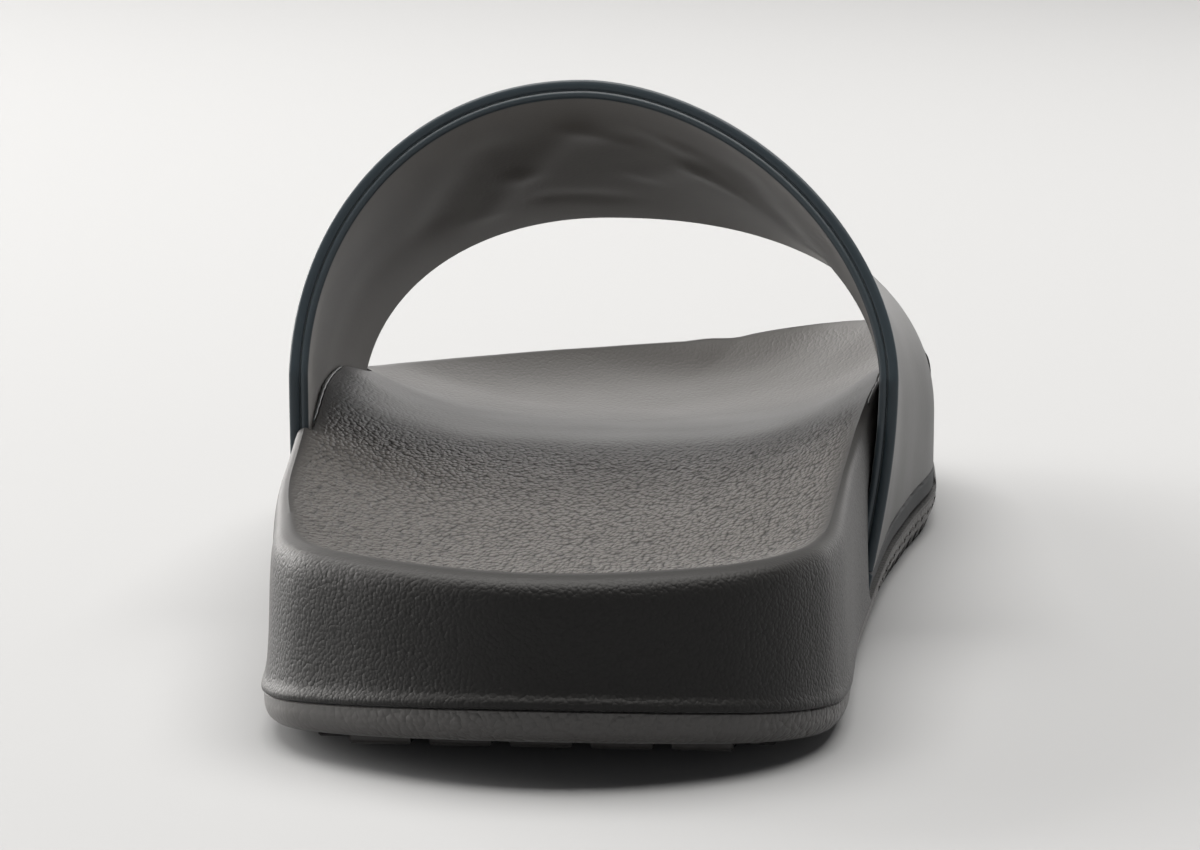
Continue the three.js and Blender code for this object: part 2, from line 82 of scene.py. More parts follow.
# Shares of the length, then how far the rim's crest stands in from the lip, in millimetres: lateral, medial
CREST = [
    (0.0, 7.0, 7.0), (0.05, 6.6, 5.7), (0.09, 5.7, 4.8), (0.14, 4.3, 3.8), (0.21, 3.2, 3.0),
    (0.3, 2.7, 2.5), (0.6, 2.8, 2.7), (0.72, 3.2, 3.5), (0.8, 3.9, 5.2), (0.85, 4.3, 5.6), (1.0, 5.6, 5.6),
]
# The wall from the seam to the crest: place along the wall, share of the ledge, share up above the ledge,
# lean in where the wall is free as a share of the crest's, rounding in the pocket
WALL = [
    (0.0, 0.0, 0.0, 0.09, 0.0), (0.03, 0.12, 0.0, 0.02, 0.0), (0.08, 0.35, 0.0, 0.0, 0.0),
    (0.16, 0.7, 0.0, 0.02, 0.0), (0.25, 1.0, 0.02, 0.1, 0.0), (0.34, 1.0, 0.1, 0.16, 0.0),
    (0.5, 1.0, 0.35, 0.235, 0.0), (0.65, 1.0, 0.62, 0.275, 0.0), (0.78, 1.0, 0.83, 0.34, 0.0),
    (0.87, 1.0, 0.93, 0.46, 0.1), (0.94, 1.0, 0.982, 0.68, 0.4), (1.0, 1.0, 1.0, 1.0, 1.0),
]


def column(rows, number, remap=lambda place: place):
    """A smooth curve through one column of a table over its first one, without overshoot."""
    xs = remap(np.array([row[0] for row in rows]))
    ys = np.array([row[number] for row in rows])
    slopes = np.diff(ys) / np.diff(xs)
    before, after = slopes[:-1], slopes[1:]
    turning = before * after <= 0
    middle = np.where(turning, 0, 2 * before * after / np.where(turning, 1, before + after))
    tangents = np.concatenate([slopes[:1], middle, slopes[-1:]])

    def value(place):
        x = np.clip(remap(np.asarray(place, float)), xs[0], xs[-1])
        i = np.clip(np.searchsorted(xs, x, side="right") - 1, 0, len(xs) - 2)
        span = xs[i + 1] - xs[i]
        t = (x - xs[i]) / span
        rise = t * t * (3 - 2 * t)
        leave = t * (1 - t) ** 2 * span * tangents[i]
        arrive = t * t * (t - 1) * span * tangents[i + 1]
        return ys[i] + (ys[i + 1] - ys[i]) * rise + leave + arrive

    return value


def angle_of(share):
    return np.arccos(np.clip(1 - 2 * share, -1, 1))


def share_of(angle):
    return (1 - np.cos(angle)) / 2


def ease(t):
    t = np.clip(t, 0, 1)
    return t * t * (3 - 2 * t)


def ramp(value, start, run):
    return ease((value - start) / run)


def between(ends, v):
    return ends[0] + (ends[1] - ends[0]) * v


lateral_edge, medial_edge = column(OUTLINE, 1, angle_of), column(OUTLINE, 2, angle_of)
lateral_rim, medial_rim, footbed_middle = (column(HEIGHTS, n) for n in (1, 2, 3))
lateral_crest, medial_crest = column(CREST, 1), column(CREST, 2)
OUTLINE_STEP = 0.002


def side_edge(side, share):
    """How far the lip of the sole lies from the heel's centre line; side is -1 lateral and 1 medial."""
    return BALL_WIDTH * np.where(side < 0, lateral_edge(share), medial_edge(share))


def rim_height(side, share):
    return HEEL_RIM * np.where(side < 0, lateral_rim(share), medial_rim(share))


def edge_point(side, share, inset):
    """A point of the lip's outline, moved into the sole along the outline's normal."""
    angle = angle_of(share)
    a0, a1 = np.maximum(angle - OUTLINE_STEP, 0), np.minimum(angle + OUTLINE_STEP, np.pi)
    run_x = side_edge(side, share_of(a1)) - side_edge(side, share_of(a0))
    run_y = LENGTH * (share_of(a1) - share_of(a0))
    run_y = np.where((angle < OUTLINE_STEP) | (angle > np.pi - OUTLINE_STEP), 0, run_y)
    size = np.hypot(run_x, run_y)
    x = side_edge(side, share) - run_y * side / size * inset
    y = LENGTH * share + run_x * side / size * inset
    return x, y


def tread_height(share):
    """How far the tread stands off the floor: it turns up behind the heel and before the toe."""
    heel = np.maximum(0, 1 - share * LENGTH / HEEL_BEVEL_RUN)
    toe = np.maximum(0, 1 - (1 - share) * LENGTH / TOE_SPRING_RUN)
    return HEEL_BEVEL * heel ** SPRING_CURVE + TOE_SPRING * toe ** SPRING_CURVE


def seam_height(share):
    return tread_height(share) + LUG_HEIGHT + PLATE


# Across the strap from its back to its front edge: middle of the crown, lateral and medial shoulder as
# shares of the ball width, and how full the lateral and the medial quarter of the arch are
STRAP = [
    (0.0, -0.046, 0.005, 0.04, 2.08, 1.8),
    (0.5, -0.06, 0.004, 0.012, 2.1, 1.86),
    (1.0, -0.07, 0.0, 0.0, 2.12, 2.25),
]
strap_crown, lateral_bulge, medial_bulge, lateral_full, medial_full = (column(STRAP, n) for n in range(1, 6))


def strap_lean(side, share, height):
    """How far the strap's face has come in over the sole at one height; below zero, it has gone out."""
    v = np.clip((share * LENGTH - STRAP_FEET[0]) / (STRAP_FEET[1] - STRAP_FEET[0]), 0, 1)
    crown, shoulder = between(STRAP_HEIGHT, v), between(SHOULDER_HEIGHT, v)
    rise = np.maximum(0, (height - shoulder) / (crown - shoulder))
    full = np.where(side < 0, lateral_full(v), medial_full(v))
    reach = (1 - rise ** full) ** (1 / full)
    width = np.abs(side_edge(side, share) - BALL_WIDTH * strap_crown(v))
    bulge = BALL_WIDTH * np.where(side < 0, lateral_bulge(v), medial_bulge(v))
    leg = shoulder - seam_height(share) - LEDGE - FIT
    up = np.clip(1 - (shoulder - height) / leg, 0, 1)
    return np.where(height <= shoulder, -bulge * np.sin(up * np.pi / 2), width * (1 - reach) - bulge)


MERGE = 1e-7


def mesh_piece(name, points, faces, smooth_angle=0.6, marks=None):
    """A closed piece from points in millimetres, with its centre line still on the heel's.
    Marks are numbers that its material reads at the points, by name."""
    shell = bmesh.new()
    layers = [shell.verts.layers.float.new(mark) for mark in marks or {}]
    verts = [shell.verts.new(p) for p in (points + shift) * MM]
    for layer, values in zip(layers, (marks or {}).values()):
        for vert, value in zip(verts, values):
            vert[layer] = value
    for face in faces:
        shell.faces.new([verts[i] for i in face])
    bmesh.ops.remove_doubles(shell, verts=shell.verts, dist=MERGE)
    bmesh.ops.dissolve_degenerate(shell, edges=shell.edges, dist=MERGE)
    mesh = bpy.data.meshes.new(name)
    shell.to_mesh(mesh)
    shell.free()
    mesh.shade_smooth()
    mesh.set_sharp_from_angle(angle=smooth_angle)
    piece = bpy.data.objects.new(name, mesh)
    bpy.context.scene.collection.objects.link(piece)
    return piece


def ring_faces(rings, count):
    """Faces between rings of points that each close on themselves."""
    faces = []
    for k in range(rings - 1):
        for i in range(count):
            j = (i + 1) % count
            faces.append((k * count + i, (k + 1) * count + i, (k + 1) * count + j, k * count + j))
    return faces


low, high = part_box("midsole")
BALL = 0.72
shift = np.array([(low.x + high.x) / 2 / MM, low.y / MM, 0.0])
shift[0] -= (side_edge(-1, BALL) + side_edge(1, BALL)) / 2

# Stations from heel to toe, close together where the pockets start and end
POCKET_STEP, POCKET_STATIONS, POCKET_MARGIN = 1.6, 7, 0.8
EVEN_STATIONS, CLOSEST = 150, 0.4
pocket_back = (STRAP_FEET[0] - POCKET_MARGIN) / LENGTH
pocket_front = (STRAP_FEET[1] + POCKET_MARGIN) / LENGTH
even = share_of(np.pi * np.arange(EVEN_STATIONS + 1) / EVEN_STATIONS)
steps = np.arange(-1, POCKET_STATIONS + 1) / POCKET_STATIONS * POCKET_STEP / LENGTH
close = np.concatenate([pocket_back - steps, pocket_front + steps])
even = even[[np.min(np.abs(close - share)) > CLOSEST / LENGTH for share in even]]
stations = np.sort(np.concatenate([even, close]))
loop_share = np.concatenate([stations, stations[1:-1][::-1]])
loop_side = np.concatenate([np.ones(len(stations)), -np.ones(len(stations) - 2)])
in_pocket = ease(1 - (pocket_back - loop_share) * LENGTH / POCKET_STEP)
in_pocket *= ease(1 - (loop_share - pocket_front) * LENGTH / POCKET_STEP)


SPINE_MARGIN = 38.0


def spine_point(share):
    """The middle line of the sole, kept clear of its two ends."""
    margin = SPINE_MARGIN / LENGTH
    share = margin + (1 - 2 * margin) * share
    return (side_edge(-1, share) + side_edge(1, share)) / 2, LENGTH * share


wall_ledge, wall_up, wall_lean, wall_round = (column(WALL, n) for n in (1, 2, 3, 4))
# The pocket: how much more than the strap it leans in, how round its rim is, where on the wall it begins
POCKET_EASE, POCKET_ROUND, POCKET_FOOT = 1.1, 0.6, (0.12, 0.08)


def wall_ring(place, let_in=1.0, top=None):
    """One loop of the midsole's wall, with the pockets let into it or without them."""
    top = rim_height(loop_side, loop_share) if top is None else top
    free = wall_lean(place) * np.where(loop_side < 0, lateral_crest(loop_share), medial_crest(loop_share))
    foot = seam_height(loop_share) + FIT / 2 + wall_ledge(place) * LEDGE
    lean = strap_lean(loop_side, loop_share, foot + (top - foot) * wall_up(place))
    pocket = POCKET_DEPTH + np.maximum(lean, POCKET_EASE * lean) + POCKET_ROUND * wall_round(place)
    depth = let_in * in_pocket * ramp(place, *POCKET_FOOT)
    x, y = edge_point(loop_side, loop_share, free + np.maximum(pocket - free, 0) * depth)
    foot = seam_height(y / LENGTH) + FIT / 2 + wall_ledge(place) * LEDGE
    return np.stack([x, y, foot + (top - foot) * wall_up(place)], axis=1)


spine_x, spine_y = spine_point(loop_share)
plain_crest = wall_ring(1.0, 0.0)
crest_reach = np.hypot(plain_crest[:, 0] - spine_x, plain_crest[:, 1] - spine_y)


def footbed_height(x, y):
    """The footbed's height on its way from the spine to the crest; the pockets only cut it short."""
    spread = np.hypot(x - spine_x, y - spine_y) / crest_reach
    middle = HEEL_RIM * footbed_middle(spine_y / LENGTH)
    return middle + (plain_crest[:, 2] - middle) * spread ** 3


# Each ramp: where it starts and how far it runs, as shares of the way from the spine to the crest
POCKET_BLEND, POCKET_LIFT, RIM_SMOOTH = (0.6, 0.4), (0.7, 0.3), (0.92, 0.08)
LIFT_BACK, LIFT_FRONT = 0.4, 0.2
# Under the strap the grain is made shallower and the footbed is painted darker, as painted shade that the
# strap casts on it: from where in millimetres, how much later on the spine, over what run, and how much of
# the grain goes there and on the rim
SMOOTH_SHADE_FROM, SMOOTH_SHADE_BOW, SMOOTH_SHADE_RUN, SMOOTH_SHADE_LOSS, RIM_LOSS = 100.0, 14.0, 30.0, 0.85, 0.9
WALL_GRAIN_TOP, WALL_GRAIN_RUN = 0.97, 0.12
FOOTBED_RINGS, WALL_RINGS, EVEN_SPREAD = 43, 34, 0.65
crest = wall_ring(1.0)
cut_height = footbed_height(crest[:, 0], crest[:, 1])
along_pocket = np.clip((loop_share - pocket_back) / (pocket_front - pocket_back), 0, 1)
lift_run = ease(along_pocket / LIFT_BACK) * ease((1 - along_pocket) / LIFT_FRONT)
lift = (plain_crest[:, 2] - cut_height) * lift_run
top = cut_height + lift
rings, grain, on_wall = [], [], []
for out in np.linspace(0, 1, FOOTBED_RINGS + 1)[:-1]:
    spread = EVEN_SPREAD * out + (1 - EVEN_SPREAD) * np.sqrt(out)
    edge = plain_crest + (crest - plain_crest) * ramp(spread, *POCKET_BLEND)
    x, y = spine_x + (edge[:, 0] - spine_x) * spread, spine_y + (edge[:, 1] - spine_y) * spread
    rings.append(np.stack([x, y, footbed_height(x, y) + lift * ramp(spread, *POCKET_LIFT)], axis=1))
    under_strap = ramp(y, SMOOTH_SHADE_FROM + SMOOTH_SHADE_BOW * (1 - spread ** 2), SMOOTH_SHADE_RUN)
    grain.append((1 - SMOOTH_SHADE_LOSS * under_strap) * (1 - RIM_LOSS * ramp(spread, *RIM_SMOOTH)))
    on_wall.append(np.zeros(len(loop_share)))
for place in np.linspace(1, 0, WALL_RINGS):
    rings.append(wall_ring(place, 1.0, top))
    share_left = 1 - RIM_LOSS + RIM_LOSS * ease((WALL_GRAIN_TOP - place) / WALL_GRAIN_RUN)
    grain.append(np.full(len(loop_share), share_left))
    on_wall.append(np.ones(len(loop_share)))
seam = rings[-1]
for inward in (0.4, 0.7, 1.0):
    x = seam[:, 0] + (spine_x - seam[:, 0]) * inward
    y = seam[:, 1] + (spine_y - seam[:, 1]) * inward
    rings.append(np.stack([x, y, seam_height(y / LENGTH) + FIT / 2], axis=1))
    grain.append(np.zeros(len(loop_share)))
    on_wall.append(np.ones(len(loop_share)))
midsole = mesh_piece(
    "midsole_foam", np.concatenate(rings), ring_faces(len(rings), len(loop_share)),
    marks={"grain": np.concatenate(grain), "wall": np.concatenate(on_wall)},
)


class Value:
    """A socket of a shader tree that takes part in plain arithmetic."""

    def __init__(self, socket):
        self.socket = socket

    def math(self, operation, *others):
        tree = self.socket.node.id_data
        node = tree.nodes.new("ShaderNodeMath")
        node.operation = operation
        for slot, value in zip(node.inputs, others):
            if isinstance(value, Value):
                tree.links.new(value.socket, slot)
            else:
                slot.default_value = value
        return Value(node.outputs[0])

    def __add__(self, other):
        return self.math("ADD", self, other)

    def __sub__(self, other):
        return self.math("SUBTRACT", self, other)

    def __rsub__(self, other):
        return self.math("SUBTRACT", other, self)

    def __mul__(self, other):
        return self.math("MULTIPLY", self, other)

    __radd__, __rmul__ = __add__, __mul__


class Finish:
    """A material and the nodes that it is made of."""

    def __init__(self, name):
        self.material = bpy.data.materials.new(name)
        self.material.use_nodes = True
        self.tree = self.material.node_tree
        self.tree.nodes.clear()

    def node(self, kind, settings=None, inputs=None, output=0):
        """Adds a node, with its settings, then its sockets' values or links, and gives one of its outputs."""
        made = self.tree.nodes.new(kind)
        for name, value in (settings or {}).items():
            setattr(made, name, value)
        for name, value in (inputs or {}).items():
            if isinstance(value, Value):
                self.tree.links.new(value.socket, made.inputs[name])
            else:
                made.inputs[name].default_value = value
        return Value(made.outputs[output]) if len(made.outputs) else None

    def object_place(self):
        return self.node("ShaderNodeTexCoord", output="Object")

    def mark(self, name):
        """One of the numbers that mesh_piece put on the points."""
        return self.node("ShaderNodeAttribute", {"attribute_name": name}, output="Fac")

    def noise(self, place, scale, detail, **others):
        inputs = {"Vector": place, "Scale": scale, "Detail": detail, **others}
        return self.node("ShaderNodeTexNoise", None, inputs)

    def blend(self, share, first, second):
        """A colour between two others."""
        return self.node("ShaderNodeMix", {"data_type": "RGBA"}, {0: share, 6: first, 7: second}, 2)

    def give(self, piece, height, distance, inputs):
        """Ends the tree in its shader, with the height as its bump, and puts the material on the piece."""
        bump = self.node("ShaderNodeBump", None, {"Strength": 1.0, "Distance": distance, "Height": height})
        shader = self.node("ShaderNodeBsdfPrincipled", None, {**inputs, "Normal": bump})
        self.node("ShaderNodeOutputMaterial", None, {"Surface": shader})
        piece.data.materials.append(self.material)


# How coarse the noise is that bends the pebbles and how far it does, how fine the unevenness on them is, and
# how much of the relief each gives
BEND_SCALE, BEND, FINE_SCALE, PEBBLE_SHARE, FINE_SHARE = 0.3, 1.5, 1.7, 1.9, 0.35


def leather_grain(finish, place, size):
    """Rounded pebbles with creases between them, size being one pebble's width, and finer unevenness."""
    bend = {"Vector": place, "Scale": BEND_SCALE / size, "Detail": 2.0}
    bend = finish.node("ShaderNodeTexNoise", None, bend, 1)
    bend = {0: bend, 1: (size * BEND,) * 3, 2: place}
    bend = finish.node("ShaderNodeVectorMath", {"operation": "MULTIPLY_ADD"}, bend)
    cell = finish.node("ShaderNodeTexVoronoi", None, {"Vector": bend, "Scale": 1 / size, "Randomness": 1.0})
    fine = finish.noise(place, FINE_SCALE / size, 2.0, Roughness=0.6)
    return 1 - cell * cell * PEBBLE_SHARE + fine * FINE_SHARE


FOOTBED_GRAIN, WALL_GRAIN = 0.66 * MM, 0.55 * MM
GRAIN_DEPTH, WALL_GRAIN_SHARE, FOOTBED_STRETCH = 0.26 * MM, 0.18, (1.0, 0.4, 1.0)
# Painted light on the footbed: where the grain mark is full it takes the lit tone, and under the strap it
# goes over to a darker tone that is painted shade. The same darker tone follows the grain where it fades on
# the rim.
BED_SHADE, BED_LIT = (0.024, 0.0225, 0.021, 1), (0.066, 0.061, 0.056, 1)
# The wall's tones are painted several times darker than the footbed's, as painted shade on the upright wall,
# which the lamps overhead and beyond the toe reach little.
WALL_PEBBLE_SHADE, WALL_CREASE_SHADE = (0.014, 0.0134, 0.0128, 1), (0.007, 0.0067, 0.0064, 1)
foam = Finish("midsole_foam")
place = foam.object_place()
grain_and_lit_share, wall_share = foam.mark("grain"), foam.mark("wall")
drawn_out = foam.node("ShaderNodeVectorMath", {"operation": "MULTIPLY"}, {0: place, 1: FOOTBED_STRETCH})
footbed = leather_grain(foam, drawn_out, FOOTBED_GRAIN)
wall = leather_grain(foam, place, WALL_GRAIN)
cloud = foam.noise(place, 60.0, 3.0)
relief = (footbed + (wall * WALL_GRAIN_SHARE - footbed) * wall_share) * grain_and_lit_share
# The pebbles' creases are painted darker, on the footbed and on the wall, as painted shade in the creases;
# the same mask makes them rougher.
crease = (1 - relief) * grain_and_lit_share
bed_tone = foam.blend(crease, foam.blend(grain_and_lit_share, BED_SHADE, BED_LIT), BED_SHADE)
wall_shade_tone = foam.blend(crease, WALL_PEBBLE_SHADE, WALL_CREASE_SHADE)
foam.give(midsole, relief, GRAIN_DEPTH, {
    "Base Color": foam.blend(wall_share, bed_tone, wall_shade_tone),
    "Roughness": 0.42 + 0.08 * cloud + 0.1 * crease,
    "Specular IOR Level": 0.25,
    "Sheen Weight": 0.08,
    "Sheen Roughness": 0.45,
})

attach(midsole, "root")
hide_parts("midsole")

# The outsole is a thin plate of dense foam, moulded apart and glued under the midsole. Its side shows as a
# plain band with a small rounded edge at the seam, and its corner turns under to the tread.
# Shares of the way down the plate's side, then how far it has turned in, in millimetres
PLATE_ROWS = [
    (0.0, 0.2), (0.02, 0.05), (0.05, 0.0), (0.3, 0.0), (0.5, 0.1), (0.7, 0.4), (0.85, 0.9), (0.95, 1.5),
    (1.0, 2.4),
]
SEAM_GAP, PLATE_INSET = 0.12, 0.4
TOP_INSET, UNDERSIDE_INSET = 0.95, 3.4
plate_inset = column(PLATE_ROWS, 1)


def plate_ring(inset, down, inward=1.0):
    """A ring round the plate, some way down its side, and some of the way out from the spine to there."""
    x, y = edge_point(loop_side, loop_share, inset)
    x, y = spine_x + (x - spine_x) * inward, spine_y + (y - spine_y) * inward
    top = seam_height(y / LENGTH) + FIT / 2 - SEAM_GAP
    return np.stack([x, y, top - down * (PLATE + FIT / 2 - SEAM_GAP)], axis=1)


rings = [plate_ring(TOP_INSET, 0, inward) for inward in (0.0, 0.35, 0.7)]
rings += [plate_ring(PLATE_INSET + plate_inset(down), down) for down in np.linspace(0, 1, 26)]
rings += [plate_ring(UNDERSIDE_INSET, 1, inward) for inward in (0.9, 0.75, 0.6, 0.4, 0.2, 0.0)]
plate = mesh_piece("outsole_plate", np.concatenate(rings), ring_faces(len(rings), len(loop_share)))

BAND_GRAIN, BAND_GRAIN_DEPTH = 0.9 * MM, 0.14 * MM
rubber = Finish("outsole_foam")
place = rubber.object_place()
patch = rubber.noise(place, 22.0, 1.0)
patch = {"Value": patch, "From Min": 0.42, "From Max": 0.58, "To Min": 0.15, "To Max": 1.0}
patch = rubber.node("ShaderNodeMapRange", None, patch)
band_grain = leather_grain(rubber, place, BAND_GRAIN) * patch
cloud = rubber.noise(place, 45.0, 3.0)
rubber.give(plate, band_grain, BAND_GRAIN_DEPTH, {
    "Base Color": rubber.blend(cloud, (0.046, 0.044, 0.042, 1), (0.066, 0.063, 0.06, 1)),
    "Roughness": 0.46 + 0.16 * cloud,
    "Sheen Weight": 0.1,
    "Sheen Roughness": 0.45,
})

# The tread is moulded on the plate: square lugs in rows under the heel, and cross bars under the forefoot
# that run out to the side and stand up on the band as short ribs.
LUG_WIDTH, LUG_DEPTH, LUG_MARGIN, LUG_ROOT = 8.5, 7.0, 6.5, 1.2
BAR_DEPTH, BAR_BOTTOM_INSET, BAR_SIDE_INSET, BAR_TOP_MARGIN = 4.2, 1.8, 0.1, 0.9
TREAD_GAP, CHAMFER, SAME_POINT = 2.6, 0.35, 1e-6
LUG_ROWS, BAR_ROWS = (0.055, 0.36), (0.43, 0.965)


def tread_rows(start, end, depth):
    """Where each row of the tread begins and ends, as shares of the length."""
    starts = np.arange(start, end - depth / LENGTH, (depth + TREAD_GAP) / LENGTH)
    return [(share, share + depth / LENGTH) for share in starts]


def corners(left, right, share, height):
    """A block's two corners at one place along the shoe."""
    return [(left, LENGTH * share, height), (right, LENGTH * share, height)]


tops, feet = [], []
for start, end in tread_rows(*BAR_ROWS, BAR_DEPTH):
    top_rise = LUG_HEIGHT + PLATE - FIT / 2 - BAR_TOP_MARGIN
    for level, inset, rise in ((tops, BAR_SIDE_INSET, top_rise), (feet, BAR_BOTTOM_INSET, 0)):
        for share in (start, end):
            left, right = (edge_point(side, share, inset)[0] for side in (-1, 1))
            level += corners(left, right, share, tread_height(share) + rise)
for start, end in tread_rows(*LUG_ROWS, LUG_DEPTH):
    left = max(edge_point(-1, share, LUG_MARGIN)[0] for share in (start, end))
    right = min(edge_point(1, share, LUG_MARGIN)[0] for share in (start, end))
    count = int((right - left + TREAD_GAP) / (LUG_WIDTH + TREAD_GAP))
    first = (left + right - count * (LUG_WIDTH + TREAD_GAP) + TREAD_GAP) / 2
    for x in first + np.arange(count) * (LUG_WIDTH + TREAD_GAP):
        for level, rise in ((tops, LUG_HEIGHT + LUG_ROOT), (feet, 0)):
            for share in (start, end):
                level += corners(x, x + LUG_WIDTH, share, tread_height(share) + rise)

tops, feet = (np.array(level) + shift for level in (tops, feet))
tread_mesh = bpy.data.meshes.new("tread_tops")
tread_mesh.from_pydata(tops * MM, [], [(k, k + 2, k + 3, k + 1) for k in range(0, len(tops), 4)])
inward = np.array([(1.0, 1.0, 0.0), (-1.0, 1.0, 0.0), (1.0, -1.0, 0.0), (-1.0, -1.0, 0.0)])
inward = np.tile(inward, (len(tops) // 4, 1))
for name, values in (("foot", feet * MM), ("inward", inward)):
    tread_mesh.attributes.new(name, "FLOAT_VECTOR", "POINT").data.foreach_set("vector", values.ravel())
tread = bpy.data.objects.new("outsole_tread", tread_mesh)
bpy.context.scene.collection.objects.link(tread)

# Each block is drawn down from its top to its foot, with a small chamfer, and closed
tree = bpy.data.node_groups.new("tread_blocks", "GeometryNodeTree")
tree.interface.new_socket("Geometry", in_out="INPUT", socket_type="NodeSocketGeometry")
chamfer_input = tree.interface.new_socket("Chamfer", in_out="INPUT", socket_type="NodeSocketFloat")
material_input = tree.interface.new_socket("Material", in_out="INPUT", socket_type="NodeSocketMaterial")
tree.interface.new_socket("Geometry", in_out="OUTPUT", socket_type="NodeSocketGeometry")


def block_node(kind, settings=None, inputs=None):
    """Adds a node to the tread's tree and returns it, with its settings and its sockets' values or links."""
    made = tree.nodes.new(kind)
    for name, value in (settings or {}).items():
        setattr(made, name, value)
    for name, value in (inputs or {}).items():
        if isinstance(value, bpy.types.NodeSocket):
            tree.links.new(value, made.inputs[name])
        else:
            made.inputs[name].default_value = value
    return made


def vector_node(operation, inputs):
    return block_node("ShaderNodeVectorMath", {"operation": operation}, inputs).outputs[0]


given = block_node("NodeGroupInput")
chamfer = given.outputs["Chamfer"]
foot, inward = (
    block_node("GeometryNodeInputNamedAttribute", {"data_type": "FLOAT_VECTOR"}, {"Name": name}).outputs[0]
    for name in ("foot", "inward")
)
up = vector_node("SCALE", {0: (0.0, 0.0, 1.0), "Scale": chamfer})
side_end = vector_node("ADD", {0: foot, 1: up})
narrowed = vector_node("SCALE", {0: inward, "Scale": chamfer})
bottom = vector_node("ADD", {0: foot, 1: narrowed})
body = given.outputs["Geometry"]
for level in (side_end, bottom):
    each_face = {"Mesh": body, "Offset Scale": 0.0, "Individual": True}
    drawn, end_faces = block_node("GeometryNodeExtrudeMesh", {"mode": "FACES"}, each_face).outputs[:2]
    moved = {"Geometry": drawn, "Selection": end_faces, "Position": level}
    body = block_node("GeometryNodeSetPosition", None, moved).outputs[0]
lid = block_node("GeometryNodeFlipFaces", None, {"Mesh": given.outputs["Geometry"]}).outputs[0]
whole = block_node("GeometryNodeJoinGeometry")
tree.links.new(body, whole.inputs[0])
tree.links.new(lid, whole.inputs[0])
blocks = {"Geometry": whole.outputs[0], "Distance": SAME_POINT}
blocks = block_node("GeometryNodeMergeByDistance", None, blocks).outputs[0]
blocks = block_node("GeometryNodeRealizeInstances", None, {"Geometry": blocks}).outputs[0]
blocks = {"Geometry": blocks, "Material": given.outputs["Material"]}
blocks = block_node("GeometryNodeSetMaterial", None, blocks).outputs[0]
tree.links.new(blocks, block_node("NodeGroupOutput").inputs[0])

modifier = tread.modifiers.new("tread", "NODES")
modifier.node_group = tree
modifier[chamfer_input.identifier] = CHAMFER * MM
modifier[material_input.identifier] = rubber.material
evaluated = tread.evaluated_get(bpy.context.evaluated_depsgraph_get())
solid_tread = bpy.data.meshes.new_from_object(evaluated)
tread.modifiers.remove(modifier)
tread.data = solid_tread
for piece in (plate, tread):
    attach(piece, "root")
    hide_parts("outsole")

# The strap's skin is a coated synthetic sheet, cut as one wide band and heat-pressed: a border along its two
# lower edges stands above a groove. Its ends are glued into the midsole's pockets.
# LEG_SHARE is how much of the way from foot to crown stands upright, and STRAP_CROWN is how far from the heel
# the crown has its back and its front edge.
LEG_SHARE = 0.36
SKIN = 1.7
STRAP_CROWN = (118.0, 207.0)
SURFACE_STEP = 0.004


def strap_point(side, q, v):
    """A point of the outer face: q goes from 0 at the foot to 1 at the crown, v from back to front edge."""
    shoulder, crown_height = between(SHOULDER_HEIGHT, v), between(STRAP_HEIGHT, v)
    crown_y = between(STRAP_CROWN, v)
    foot_share = between(STRAP_FEET, v) / LENGTH
    foot_x, foot_y = edge_point(side, foot_share, STRAP_INSET)
    foot_z = seam_height(foot_share) + LEDGE + FIT
    bulge = BALL_WIDTH * np.where(side < 0, lateral_bulge(v), medial_bulge(v)) * side
    up = np.clip(q / LEG_SHARE, 0, 1)
    angle = np.clip((q - LEG_SHARE) / (1 - LEG_SHARE), 0, 1) * np.pi / 2
    power = 2 / np.where(side < 0, lateral_full(v), medial_full(v))
    rise, reach = np.sin(angle) ** power, np.cos(angle) ** power
    crown_x = BALL_WIDTH * strap_crown(v)
    shoulder_x = foot_x + bulge * np.sin(up * np.pi / 2)
    x = crown_x + (shoulder_x - crown_x) * reach
    y = foot_y + (crown_y - foot_y) * rise
    leg_z, arch_z = foot_z + (shoulder - foot_z) * up, shoulder + (crown_height - shoulder) * rise
    z = np.where(q <= LEG_SHARE, leg_z, arch_z)
    return np.stack([x, y, z], axis=-1)


def strap_normal(side, q, v):
    v0, v1 = np.maximum(v - SURFACE_STEP, 0), np.minimum(v + SURFACE_STEP, 1)
    q0, q1 = np.maximum(q - SURFACE_STEP, 0), np.minimum(q + SURFACE_STEP, 1)
    across = strap_point(side, q, v1) - strap_point(side, q, v0)
    along = strap_point(side, q1, v) - strap_point(side, q0, v)
    normal = np.cross(along, across) * -np.asarray(side)[..., None]
    return normal / np.linalg.norm(normal, axis=-1, keepdims=True)


def strap_grid(turns, across):
    """Points and outward normals of the strap's outer face, over both halves."""
    t, v = np.meshgrid(turns, across, indexing="ij")
    side, q = np.where(t < 0, -1.0, 1.0), 1 - np.abs(t)
    return strap_point(side, q, v), strap_normal(side, q, v), side, q, v


# Rows of points from foot to foot, close together at the border's groove, and across, close at the two edges
BORDER_ROWS = 0.045
rows = np.concatenate([np.linspace(0, BORDER_ROWS, 40), np.linspace(BORDER_ROWS, 1, 130)[1:]])
turns = np.concatenate([rows - 1, 1 - rows[::-1][1:]])
across = np.concatenate([[0, 0.0015, 0.004, 0.008], np.linspace(0.014, 0.986, 70), [0.992, 0.996, 0.9985, 1]])
BORDER_HEIGHT, BORDER_RAISE, GROOVE, GROOVE_DEPTH = 2.7, 0.06, 0.6, 0.6
BORDER_EDGE, FACE_EDGE, BAND_ANGLE = 0.2, 0.5, 0.9


